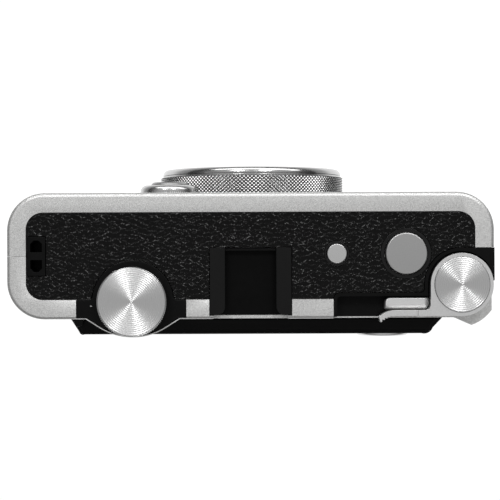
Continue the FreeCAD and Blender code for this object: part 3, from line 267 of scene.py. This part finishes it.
def circuit_board():
    """Green board with paler lines across it."""
    look = Look("circuit_board", (0.01, 0.09, 0.035), 0.35)
    line, field = (0.02, 0.16, 0.06), (0.01, 0.08, 0.03)
    return look.set("Base Color", look.curve(look.cell_edges(0.7), (0.04, line), (0.08, field)))


def battery_wrap():
    """Dark shrunk film with shallow ripples."""
    look = Look("battery_wrap", (0.02, 0.03, 0.05), 0.25)
    return look.bump(look.noise(0.4, 2.0), 0.05, 0.3)


def film_sheet():
    look = Look("film_sheet", (0.6, 0.59, 0.55), 0.5)
    return look.bump(look.noise(1.5, 2.0), 0.01, 0.4)


def clear(name, colour, roughness, coat):
    """Glass or clear plastic, a little uneven in its polish."""
    look = Look(name, colour, roughness, IOR=GLASS_INDEX, Transmission_Weight=1.0, Coat_Weight=coat)
    polish = look.curve(look.noise(0.2, 2.0), (0.4, roughness), (0.8, roughness + 0.015))
    return look.set("Roughness", polish)


def screen_glass():
    """The display's near-black glass."""
    look = Look("screen_glass", (0.004, 0.004, 0.005), 0.06, Coat_Weight=0.6)
    return look.set("Roughness", look.curve(look.noise(0.1), (0.3, 0.04), (0.8, 0.09)))


def mirror_finish():
    look = Look("mirror_finish", (0.88, 0.89, 0.9), 0.03, 1.0)
    return look.set("Roughness", look.curve(look.noise(0.3), (0.3, 0.02), (0.8, 0.05)))


def white_mark():
    """The paint of the index mark and the icons."""
    look = Look("white_mark", (0.4, 0.4, 0.395), 0.5)
    return look.bump(look.noise(8.0), 0.004, 0.4)


LOOKS = {
    "silver_paint": silver_paint(),
    "leatherette": leatherette(),
    "black_plastic": moulding("black_plastic", 0.0015, 0.42, grain=0.012, gloss=0.1),
    "black_gloss": moulding("black_gloss", 0.003, 0.22, grain=0.002, gloss=0.3),
    "rail_black": shoe_black(),
    "spun_metal": spun_metal(),
    "satin_metal": bare_metal("satin_metal", 0.74, 0.34),
    "button_metal": bare_metal("button_metal", 0.41, 0.36),
    "power_metal": bare_metal("power_metal", 0.56, 0.36),
    "knurled_metal": bare_metal("knurled_metal", 0.46, 0.17, grain=0.001, vary=0.05),
    "bright_metal": bare_metal("bright_metal", 0.52, 0.19, grain=0.0002, vary=0.03),
    "seat_metal": bare_metal("seat_metal", 0.56, 0.24, grain=0.002, vary=0.05),
    "ring_metal": ring_metal(),
    "rest_metal": bare_metal("rest_metal", 0.66, 0.46),
    "black_metal": bare_metal("black_metal", 0.012, 0.35),
    "steel": bare_metal("steel", 0.45, 0.3),
    "brass": brass(),
    "rubber_black": moulding("rubber_black", 0.02, 0.75, grain=0.03, gloss=0.3),
    "circuit_board": circuit_board(),
    "battery_wrap": battery_wrap(),
    "film_sheet": film_sheet(),
    "clear_glass": clear("clear_glass", (0.93, 0.96, 1.0), 0.0, coat=0.6),
    "flash_lens": clear("flash_lens", (0.97, 0.97, 0.98), 0.08, coat=0.0),
    "screen_glass": screen_glass(),
    "mirror_finish": mirror_finish(),
    "white_mark": white_mark(),
}


# ---- Making pieces -----------------------------------------------------------------------------


def add(name, mesh, look, body, nodes=()):
    """Puts a mesh in the scene as a piece that rides on a CAD body and may stand for CAD nodes."""
    piece = bpy.data.objects.new(name, mesh)
    bpy.context.scene.collection.objects.link(piece)
    mesh.materials.clear()
    mesh.materials.append(LOOKS[look].material)
    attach(piece, body)
    if nodes:
        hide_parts(*nodes)
    return piece


def smooth(mesh, degrees=30.0):
    """Smooth shading, with edges sharper than an angle kept."""
    mesh.shade_smooth()
    mesh.set_sharp_from_angle(angle=math.radians(degrees))


def mesh_of(data, name):
    """Turns a bmesh into a mesh."""
    mesh = bpy.data.meshes.new(name)
    data.to_mesh(mesh)
    data.free()
    return mesh


def refined(node, look, bevel_mm):
    """A copy of a CAD node with its edges rounded, which stands for the node."""
    weld, flat, corner = 1e-6, math.radians(0.5), math.radians(28.0)
    data = bmesh.new()
    data.from_mesh(NODES[node].data)
    bmesh.ops.remove_doubles(data, verts=data.verts, dist=weld)
    bmesh.ops.dissolve_limit(data, angle_limit=flat, verts=data.verts, edges=data.edges)
    mesh = mesh_of(data, f"{node}_finished")
    smooth(mesh)
    piece = add(mesh.name, mesh, look, BODY_OF[node], nodes=(node,))
    bevel = piece.modifiers.new("edges", "BEVEL")
    bevel.width = bevel_mm * MM
    bevel.segments = 3
    bevel.limit_method = "ANGLE"
    bevel.angle_limit = corner
    bevel.harden_normals = True
    bevel.use_clamp_overlap = True


def lathe(name, profile, centre, segments, axis="Z", wave=None):
    """A mesh turned about an axis. Profile points are (radius, level) in millimetres, and wave(turn, index)
    adds to the radius of a point where it is given."""
    data = bmesh.new()
    rings = []
    for index, (radius, level) in enumerate(profile):
        ring = []
        for step in range(segments if radius > 0 else 1):
            turn = 2 * math.pi * step / segments
            r = (radius + (wave(turn, index) if wave else 0.0)) * MM
            x, y, z = r * math.cos(turn), r * math.sin(turn), level * MM
            point = (x, y, z) if axis == "Z" else (x, z, -y)
            ring.append(data.verts.new(Vector(point) + centre))
        rings.append(ring)
    for a, b in zip(rings, rings[1:]):
        for step in range(segments):
            after = (step + 1) % segments
            corners = [a[step % len(a)], a[after % len(a)], b[after % len(b)], b[step % len(b)]]
            corners = list(dict.fromkeys(corners))
            if len(corners) > 2:
                data.faces.new(corners)
    bmesh.ops.recalc_face_normals(data, faces=data.faces)
    return mesh_of(data, name)


def prism(name, first, second):
    """A mesh between two copies of an outline, whose points are in metres."""
    data = bmesh.new()
    ends = [[data.verts.new(point) for point in outline] for outline in (first, second)]
    for end in ends:
        data.faces.new(end)
    count = len(first)
    for i in range(count):
        k = (i + 1) % count
        data.faces.new((ends[0][i], ends[0][k], ends[1][k], ends[1][i]))
    bmesh.ops.recalc_face_normals(data, faces=data.faces)
    return mesh_of(data, name)


def rounded(points, radius, steps):
    """An open profile with its inner corners rounded, each over less than half of the sides beside it."""
    most = 0.45
    result = [points[0]]
    for before, corner, after in zip(points, points[1:], points[2:]):
        p, c, n = Vector(before), Vector(corner), Vector(after)
        reach = min(radius, (p - c).length * most, (n - c).length * most)
        start, end = c + (p - c).normalized() * reach, c + (n - c).normalized() * reach
        for step in range(steps + 1):
            t = step / steps
            spot = start * (1 - t) ** 2 + c * 2 * t * (1 - t) + end * t**2
            result.append((spot.x, spot.y))
    return result + [points[-1]]


def shoulder(radius, face, across, along, steps):
    """Profile points round a quarter turn, from the side of a piece to its face. It takes up a width across
    the face, and a depth along the axis that is negative where the face looks up the axis."""
    turns = [math.pi / 2 * step / steps for step in range(steps + 1)]
    return [(radius - across * (1 - math.cos(turn)), face + along * (1 - math.sin(turn))) for turn in turns]


def turned_piece(node, name, look, profile, axis, segments, soft):
    """A lathe piece with softened corners that stands for a CAD node."""
    mesh = lathe(name, rounded(profile, soft, 4), axis_foot(node, axis), segments, axis)
    smooth(mesh)
    add(name, mesh, look, BODY_OF[node], nodes=(node,))


# ---- The deck ----------------------------------------------------------------------------------


def spun_disc(node):
    """A disc with concentric turned grooves."""
    low, high = extent(node)
    radius = (high.x - low.x) / 2
    pitch, groove, per_groove = 0.5, 0.05, 12
    foot_in, foot_up, soft, flat = 0.02, 0.05, 0.18, 0.05
    profile = [(radius - foot_in, low.z), (radius, low.z + foot_up), (radius, high.z - soft)]
    for turn in (0.4, 0.8, 1.2):
        profile.append((radius - soft * (1 - math.cos(turn)), high.z - soft + soft * math.sin(turn)))
    start = radius - soft - flat
    count = int(start / pitch * per_groove)
    for step in range(count):
        r = start * (1 - step / count)
        level = high.z - groove / 2 + groove / 2 * math.cos(2 * math.pi * (start - r) / pitch)
        profile.append((r, level))
    profile.append((0.0, high.z - groove / 2))
    mesh = lathe(f"{node}_spun", profile, axis_foot(node, "Z"), 256)
    smooth(mesh)
    add(f"{node}_spun", mesh, "spun_metal", BODY_OF[node], nodes=(node,))


def dial_grip():
    """The effect dial, with fine serrations round its rim and a bowl for its cap."""
    low, high = extent("effect_dial")
    cap_low, cap_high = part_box("dial_cap")
    teeth, per_tooth, depth, fade, sharpness = 110, 8, 0.2, 0.2, 0.8
    bore, bowl_depth, cap_gap = 2.1, 0.6, 0.04
    radius, seat = (high.x - low.x) / 2, high.z - bowl_depth
    bowl = (cap_high[0] - cap_low[0]) / 2 / MM + cap_gap
    skirt = ((0.7, 0.0), (0.3, 0.25), (0.0, 0.6))
    crown = ((0.0, 0.3), (0.14, 0.04), (0.22, 0.0))
    profile = [(bore, low.z)]
    profile += [(radius - inward, low.z + up) for inward, up in skirt]
    profile += [(radius - inward, high.z - down) for inward, down in crown]
    profile += [(bowl, high.z), (bowl, seat), (bore, seat)]
    profile = rounded(profile, 0.08, 2)

    def wave(turn, index):
        share = max(0.0, min(1.0, (profile[index][0] - radius + fade) / fade))
        phase = turn * teeth / (2 * math.pi) % 1.0
        return -depth * share * (1 - abs(2 * phase - 1)) ** sharpness

    mesh = lathe("effect_dial_serrated", profile, axis_foot("effect_dial", "Z"), teeth * per_tooth, wave=wave)
    smooth(mesh, 40)
    add("effect_dial_serrated", mesh, "knurled_metal", "dial", nodes=("effect_dial",))


def deck_buttons():
    """The two deck buttons, each flat with a rounded rim over a slimmer shank."""
    underside, overhang, slimmest = 85.2, 3.4, 1.0
    for node, look, bend in (("shutter_button", "button_metal", 0.34), ("power_button", "power_metal", 0.2)):
        low, high = extent(node)
        r = (high.x - low.x) / 2
        shank = max(slimmest, r - overhang)
        profile = [(0.0, low.z), (shank, low.z), (shank, underside), (r, underside)]
        profile += [*shoulder(r, high.z, bend, -bend, 6), (0.0, high.z)]
        turned_piece(node, f"{node}_turned", look, profile, "Z", segments=192, soft=0.02)


def index_mark():
    """The small white tick beside the effect dial."""
    wide, deep, thick = 0.5, 0.2, 0.05
    x, y, top = 40.2, 12.6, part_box("dial_escutcheon")[1][2] / MM
    data = bmesh.new()
    bmesh.ops.create_cube(data, size=1.0)
    bmesh.ops.scale(data, vec=(wide * MM, deep * MM, thick * MM), verts=data.verts)
    bmesh.ops.translate(data, vec=Vector((x, y, top)) * MM, verts=data.verts)
    mesh = mesh_of(data, "dial_index_mark")
    add("dial_index_mark", mesh, "white_mark", "camera")


# ---- The front ---------------------------------------------------------------------------------


def knurl_height(u, v):
    """The height of a diamond knurl from 0 to 1, with a flat-topped pyramid to each unit of u."""
    steepness = 1.3
    sides = [abs(2 * ((u + s * v) % 1.0) - 1) for s in (1, -1)]
    return min(1.0, steepness * (1 - max(sides)))


def knurl_mesh(centre, radius, start, end):
    """The ring's knurled sleeve between two levels, its squares split along the diagonal that fits better."""
    around, rows, sub = 148, 5, 4
    columns, steps = around * sub, rows * sub
    data = bmesh.new()
    grid = []
    for j in range(steps + 1):
        line = []
        for i in range(columns):
            turn = 2 * math.pi * i / columns
            r = (radius - KNURL_DEPTH * (1 - knurl_height(i / sub, j / sub))) * MM
            y = (start + (end - start) * j / steps) * MM
            line.append(data.verts.new((centre.x + r * math.cos(turn), y, centre.z + r * math.sin(turn))))
        grid.append(line)
    for j in range(steps):
        for i in range(columns):
            k = (i + 1) % columns
            a, b, c, d = grid[j][i], grid[j][k], grid[j + 1][k], grid[j + 1][i]
            left, right, near, far = i / sub, (i + 1) / sub, j / sub, (j + 1) / sub
            true = knurl_height((i + 0.5) / sub, (j + 0.5) / sub)
            first = (knurl_height(left, near) + knurl_height(right, far)) / 2
            second = (knurl_height(right, near) + knurl_height(left, far)) / 2
            halves = ((a, b, d), (b, c, d))
            if abs(first - true) <= abs(second - true):
                halves = ((a, b, c), (a, c, d))
            for corners in halves:
                data.faces.new(corners)
    bmesh.ops.recalc_face_normals(data, faces=data.faces)
    return mesh_of(data, "lens_ring_knurl")


def knurled_ring():
    """The lens control ring: a sleeve of diamond knurling round a smooth core."""
    low, high = extent("lens_dial")
    centre = axis_foot("lens_dial", "Y")
    edge, bore, lip_in, lip = 0.3, 21.1, 0.1, 0.06
    radius, start, end = (high.x - low.x) / 2, low.y + edge, high.y - edge
    rim = radius - KNURL_DEPTH
    sleeve = knurl_mesh(centre, radius, start, end)
    add("lens_ring_knurl", sleeve, "ring_metal", "lens_control", nodes=("lens_dial",))
    profile = [(rim, start), (rim, low.y + lip), (rim - lip_in, low.y), (bore, low.y), (bore, high.y)]
    profile += [(rim - lip_in, high.y), (rim, high.y - lip), (rim, end)]
    core = lathe("lens_ring_core", rounded(profile, 0.05, 2), centre, 256, "Y")
    smooth(core)
    add("lens_ring_core", core, "knurled_metal", "lens_control")


def bezel():
    """The polished bezel: a neck at the back, a rounded shoulder and a dish that runs in to the bore."""
    low, high = extent("lens_bezel")
    r, front, back = (high.x - low.x) / 2, low.y, high.y
    bore, neck, neck_long, flare_end = 17.6, 0.25, 0.25, 0.4
    dish = ((20.6, 0.0), (19.9, 0.25), (18.6, 0.7), (bore, 1.5))
    profile = [(bore, back), (r - neck, back), (r - neck, back - neck_long), (r, back - flare_end)]
    profile += shoulder(r, front, 1.2, 1.55, 12)
    profile += [*((radius, front + deep) for radius, deep in dish), (bore, back)]
    turned_piece("lens_bezel", "lens_bezel_polished", "bright_metal", profile, "Y", segments=256, soft=0.02)


def front_button_seat():
    """The raised seat round the front button, with a rounded shoulder."""
    low, high = extent("front_button_base")
    key_low, key_high = extent("front_button")
    r, front, back = (high.x - low.x) / 2, low.y, high.y
    gap, lip, bend = 0.15, 0.2, 1.5
    bore = (key_high.x - key_low.x) / 2 + gap
    profile = [(bore, back), (r, back), *shoulder(r, front, bend, bend, 8)]
    profile += [(bore + lip, front), (bore, front + lip), (bore, back)]
    name = "front_button_base_turned"
    turned_piece("front_button_base", name, "seat_metal", profile, "Y", segments=128, soft=0.04)


def flash_ribs():
    """The flash window, with upright prism ribs moulded into its face."""
    low, high = extent("flash_window")
    pitch, depth, per_rib = 0.8, 0.16, 4
    edge, edge_flat, chamfer = 0.7, 0.6, 0.25
    inner = high.x - low.x - 2 * edge
    count = int(inner / pitch) * per_rib
    section = [(low.x, low.y + chamfer), (low.x + edge * edge_flat, low.y)]
    for step in range(count + 1):
        wave = abs((step / per_rib) % 1.0 - 0.5) * 2
        section.append((low.x + edge + inner * step / count, low.y + depth * wave))
    section += [(high.x - edge * edge_flat, low.y), (high.x, low.y + chamfer)]
    section += [(high.x, high.y), (low.x, high.y)]
    bottom, top = ([Vector((x, y, level)) * MM for x, y in section] for level in (low.z, high.z))
    mesh = prism("flash_window_ribbed", bottom, top)
    add("flash_window_ribbed", mesh, "flash_lens", "camera", nodes=("flash_window",))


# ---- The keys on the door ----------------------------------------------------------------------

KEY_FLANGE = 0.7
KEY_FLANGE_THICK = 0.9
ICONS = {
    "play_button": [(-0.7, -0.95), (0.95, 0.0), (-0.7, 0.95)],
    "back_button": [
        *((0.2, -1.0), (-1.0, 0.0), (0.2, 1.0)),
        *((0.2, 0.35), (1.1, 0.35), (1.1, -0.35), (0.2, -0.35)),
    ],
}


def navigation_pad():
    """The pad, with a ring-shaped groove round its middle."""
    low, high = extent("nav_pad")
    r, back, face, bend = (high.x - low.x) / 2, low.y, high.y, 0.35
    rim, ledge = r - KEY_FLANGE, back + KEY_FLANGE_THICK
    groove = ((4.3, 0.0), (3.7, 0.45), (3.45, 0.45), (3.35, 0.1), (0.0, 0.1))
    profile = [(0.0, back), (r, back), (r, ledge), (rim, ledge), (rim, face - bend), (rim - bend, face)]
    profile += [(radius, face - deep) for radius, deep in groove]
    turned_piece("nav_pad", "nav_pad_turned", "satin_metal", profile, "Y", segments=128, soft=0.12)


def round_key(node, icon):
    """A round key with a plain icon, mirrored in X to read from behind the door."""
    low, high = extent(node)
    r, back, face = (high.x - low.x) / 2 - KEY_FLANGE, low.y, high.y
    ledge, bend, sunk, proud = back + KEY_FLANGE_THICK, 0.3, 0.02, 0.03
    profile = [(0.0, back), (r + KEY_FLANGE, back), (r + KEY_FLANGE, ledge), (r, ledge)]
    profile += [(r, face - bend), (r - bend, face), (0.0, face)]
    turned_piece(node, f"{node}_turned", "black_gloss", profile, "Y", segments=96, soft=0.1)
    centre = axis_foot(node, "Y")
    levels = (face - sunk, face + proud)
    under, over = ([centre + Vector((-x, level, z)) * MM for x, z in icon] for level in levels)
    plate = prism(f"{node}_icon", under, over)
    add(f"{node}_icon", plate, "white_mark", BODY_OF[node])


# ---- Light, floor and camera -------------------------------------------------------------------


def panel(name, azimuth, rise, distance, size, radiance):
    """A soft box that faces the object: azimuth in degrees from the lens side towards +X, rise in degrees
    above the floor, and distance and size in metres."""
    turn, lift = math.radians(azimuth), math.radians(rise)
    target = Vector((0, 0, 0.06))
    heading = Vector((math.sin(turn) * math.cos(lift), -math.cos(turn) * math.cos(lift), math.sin(lift)))
    data = bpy.data.lights.new(name, "AREA")
    data.shape = "RECTANGLE"
    data.size, data.size_y = size
    data.energy = radiance * math.pi * size[0] * size[1]
    lamp = bpy.data.objects.new(name, data)
    lamp.location = target + heading * distance
    lamp.rotation_euler = (-heading).to_track_quat("-Z", "Y").to_euler()
    bpy.context.scene.collection.objects.link(lamp)


def sky():
    """A grey sky, dark below and paler from the horizon up."""
    world = bpy.data.worlds.new("studio")
    world.use_nodes = True
    nodes, links = world.node_tree.nodes, world.node_tree.links
    place = nodes.new("ShaderNodeTexCoord")
    split = nodes.new("ShaderNodeSeparateXYZ")
    ramp = nodes.new("ShaderNodeValToRGB")
    set_stops(ramp.color_ramp, ((0.0, 0.03), (0.3, 0.1), (0.75, 0.5), (1.0, 0.5)))
    links.new(place.outputs["Generated"], split.inputs["Vector"])
    links.new(split.outputs["Z"], ramp.inputs["Fac"])
    links.new(ramp.outputs["Color"], nodes["Background"].inputs["Color"])
    bpy.context.scene.world = world


def floor():
    """A pale floor that glows round the object and less towards its rim."""
    look = Look("pale_floor", (0.2, 0.2, 0.2), 0.8)
    look.shader.inputs["Emission Color"].default_value = (1, 1, 1, 1)
    glow_reach = 400
    away = look.nodes.new("ShaderNodeVectorMath")
    away.operation = "LENGTH"
    look.links.new(look.place, away.inputs[0])
    share = look.maths("DIVIDE", away.outputs["Value"], glow_reach)
    look.set("Emission Strength", look.curve(share, (0.24, 0.95), (0.45, 0.3), (1.0, 0.16)))
    look.bump(look.noise(0.3), 0.05, 0.2)
    data = bmesh.new()
    bmesh.ops.create_circle(data, cap_ends=True, segments=96, radius=3.0)
    mesh = mesh_of(data, "floor")
    mesh.materials.append(look.material)
    ground = bpy.data.objects.new("floor", mesh)
    bpy.context.scene.collection.objects.link(ground)


def studio():
    bpy.context.scene.view_settings.view_transform = "Standard"
    sky()
    floor()
    for side in (-1, 1):
        panel(f"wedge_{side}", side * 30, 57, 1.1, (0.2, 0.24), 12)
    panel("front_strip", -8, 28, 1.0, (2.0, 0.4), 3.1)
    panel("rear_strip", 180, 60, 1.0, (1.0, 0.1), 2.6)


def camera():
    """Straight above the deck, with the lens side at the top of the picture and turned by a small angle."""
    lean = math.radians(0.22)
    data = bpy.data.cameras.new("camera")
    data.sensor_width = 36.0
    data.lens = 108.7
    data.clip_start = 0.01
    eye = bpy.data.objects.new("camera", data)
    eye.location = (0.00013, -0.00139, 0.467)
    eye.rotation_euler = (0, 0, math.pi - lean)
    bpy.context.scene.collection.objects.link(eye)
    bpy.context.scene.camera = eye


# ---- The camera's pieces -----------------------------------------------------------------------

for node, item in NODES.items():
    item.data.materials.clear()
    item.data.materials.append(LOOKS[SLOT_OF[node]].material)

# The look and the width of the rounded edges of each node that is shown by a refined copy. front_button_base
# is also shown by front_button_seat, so two pieces overlap there.
EDGES_MM = {
    "front_cover": ("silver_paint", 0.06),
    "rear_cover": ("silver_paint", 0.06),
    "top_panel": ("black_plastic", 0.08),
    "top_leather": ("leatherette", 0.15),
    "strap_lug": ("black_plastic", 0.1),
    "accessory_shoe": ("rail_black", 0.12),
    "dial_escutcheon": ("black_plastic", 0.25),
    "lever_escutcheon": ("black_plastic", 0.25),
    "lever_rest": ("rest_metal", 0.3),
    "button_collars": ("black_gloss", 0.12),
    "print_lever": ("satin_metal", 0.18),
    "front_leather": ("leatherette", 0.1),
    "rear_leather": ("leatherette", 0.1),
    "door_leather": ("leatherette", 0.1),
    "film_door": ("black_plastic", 0.2),
    "bottom_plate": ("black_plastic", 0.12),
    "front_button_base": ("satin_metal", 0.2),
    "front_button": ("button_metal", 0.15),
    # Painted shade: lens_base is black so that the gap between the lens ring and the body shows as a dark
    # line.
    "lens_base": ("black_metal", 0.1),
    "hinge_brackets": ("black_metal", 0.08),
    "lcd_glass": ("screen_glass", 0.2),
    "film_exit_bezel": ("black_plastic", 0.1),
    "door_latch": ("black_plastic", 0.15),
    "selfie_mirror": ("mirror_finish", 0.15),
    "base_screws": ("steel", 0.06),
}
for node, (look, width) in EDGES_MM.items():
    refined(node, look, width)

dial_grip()
spun_disc("dial_cap")
spun_disc("lever_cap")
knurled_ring()
bezel()
front_button_seat()
deck_buttons()
navigation_pad()
for node, icon in ICONS.items():
    round_key(node, icon)
index_mark()
flash_ribs()

studio()
camera()
